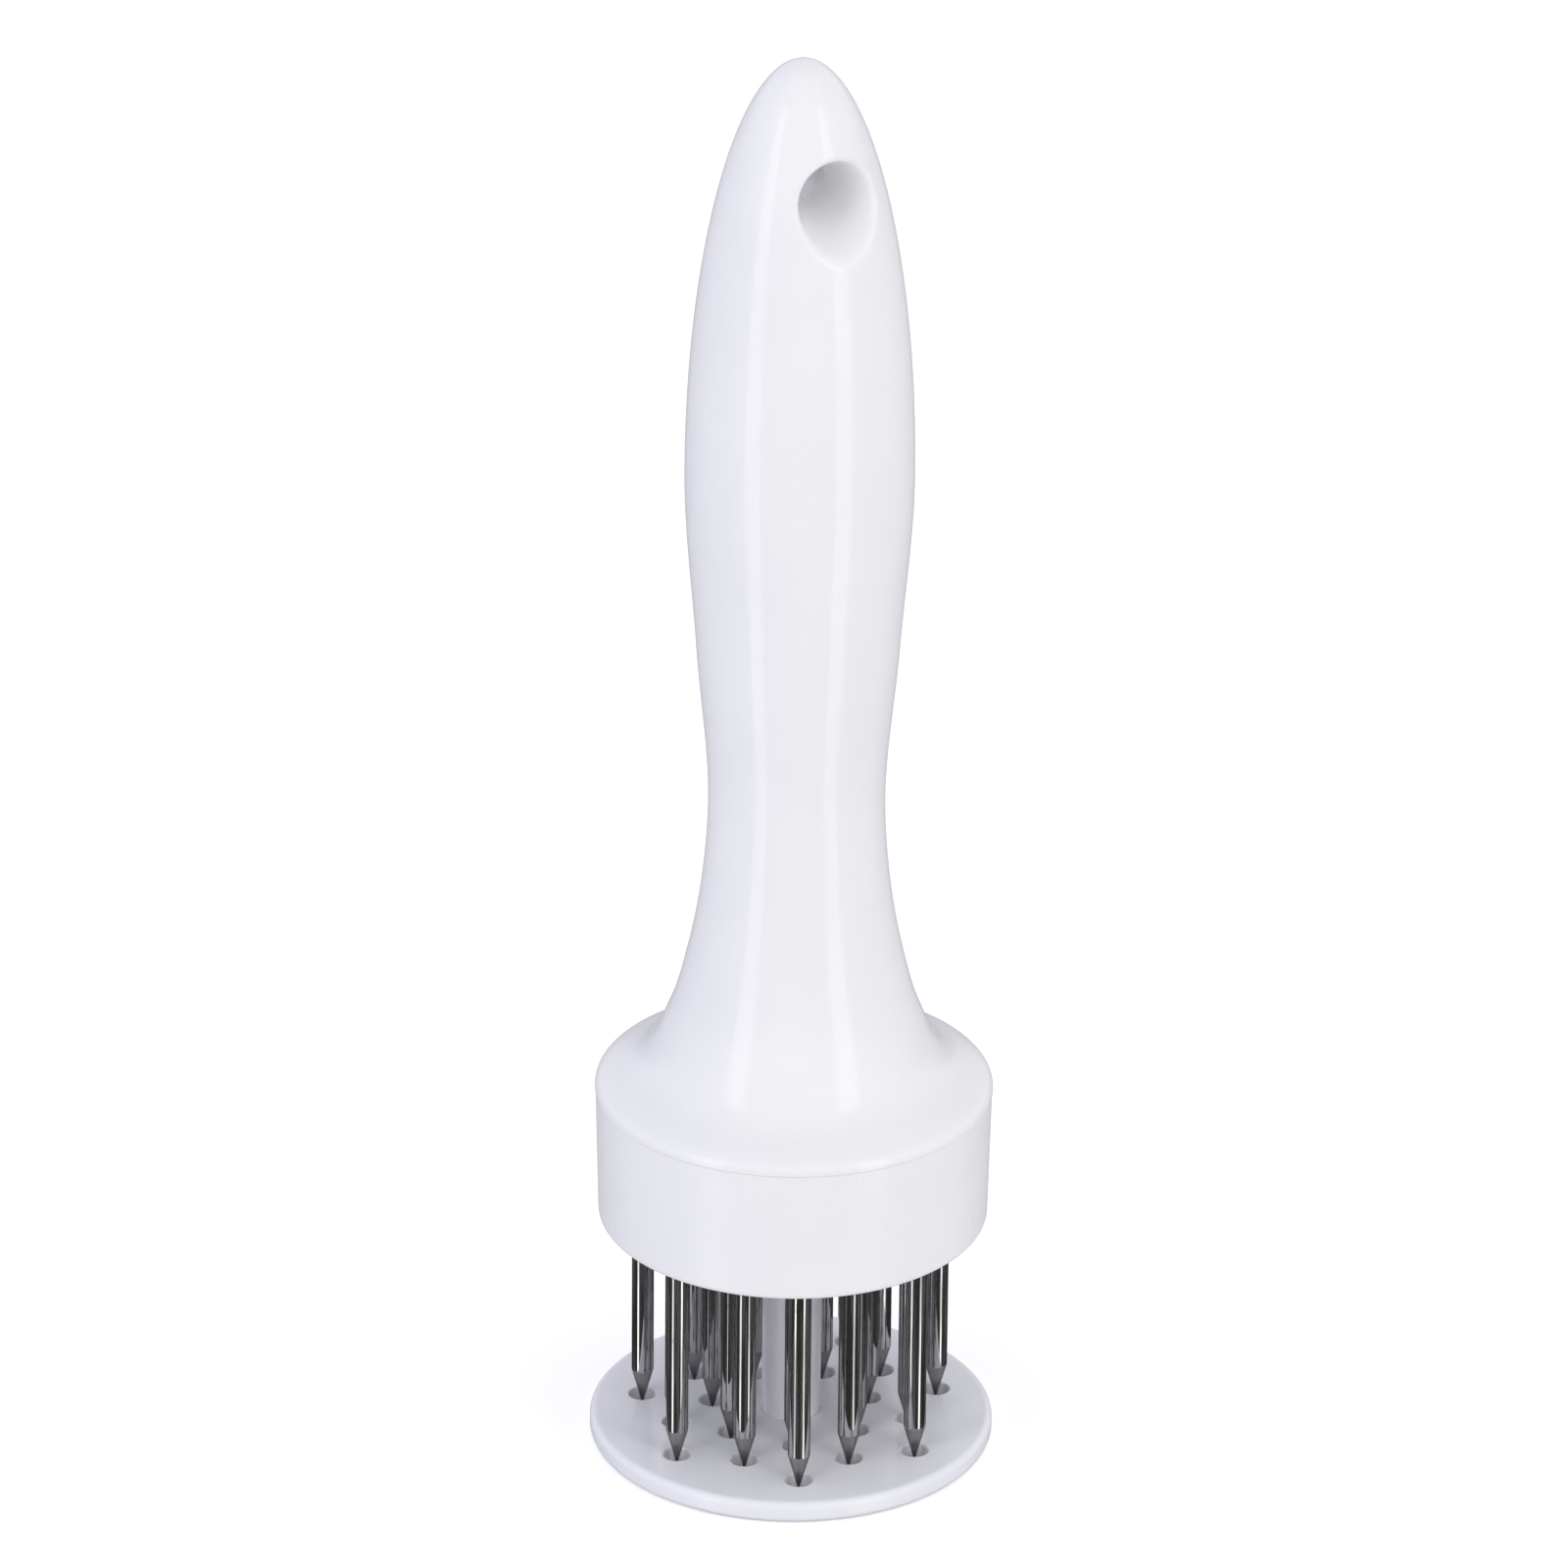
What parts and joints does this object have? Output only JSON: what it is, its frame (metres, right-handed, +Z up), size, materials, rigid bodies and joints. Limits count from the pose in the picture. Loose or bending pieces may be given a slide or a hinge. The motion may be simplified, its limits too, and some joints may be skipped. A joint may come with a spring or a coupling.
{
  "type": "needle meat tenderizer",
  "caption": "Push-down needle meat tenderizer: white domed handle with hanging hole, round band holding pointed steel needles, and a spring-returned press plate on a centre post.",
  "frame": {"origin": "middle of the press plate's underside, at the released height, on the tool's axis", "axes": "+Z up along the tool's axis to the top of the handle; the hanging hole runs along Y"},
  "size_m": [0.0546, 0.0546, 0.2],
  "materials": {
    "handle_plastic": "smooth, high gloss",
    "carrier_plastic": "smooth, high gloss",
    "plate_plastic": "smooth, gloss",
    "bush_plastic": "moulded, satin",
    "needle_steel": "drawn wire, polished shank, ground tip",
    "plate_steel": "stamped sheet",
    "screw_steel": "bright",
    "spring_steel": "drawn wire"
  },
  "bodies": {
    "handle_body": {"handle": "handle_plastic", "needle_carrier": "carrier_plastic", "needle_backing_plate": "plate_steel", "carrier_screws": "screw_steel", "guide_bush": "bush_plastic", "spring_seat": "plate_steel", "return_spring": "spring_steel", "needle_outer_1": "needle_steel", "needle_outer_2": "needle_steel", "needle_outer_3": "needle_steel", "needle_outer_4": "needle_steel", "needle_outer_5": "needle_steel", "needle_outer_6": "needle_steel", "needle_outer_7": "needle_steel", "needle_middle_1": "needle_steel", "needle_middle_2": "needle_steel", "needle_middle_3": "needle_steel", "needle_middle_4": "needle_steel", "needle_middle_5": "needle_steel", "needle_middle_6": "needle_steel", "needle_middle_7": "needle_steel", "needle_inner_1": "needle_steel", "needle_inner_2": "needle_steel", "needle_inner_3": "needle_steel", "needle_inner_4": "needle_steel", "needle_inner_5": "needle_steel", "needle_inner_6": "needle_steel", "needle_inner_7": "needle_steel"},
    "plunger": {"press_plate": "plate_plastic", "plate_screw": "screw_steel", "guide_post": "plate_plastic", "stop_collar": "bush_plastic", "collar_screw": "screw_steel"}
  },
  "joints": [
    {"name": "press_plate_slide", "type": "slide", "parent": "handle_body", "child": "plunger", "axis": [0, 0, 1], "range_m": [0, 0.0295], "stiffness_N_per_m": 330, "springref_m": -0.0205, "deforming": ["return_spring"]}
  ]
}
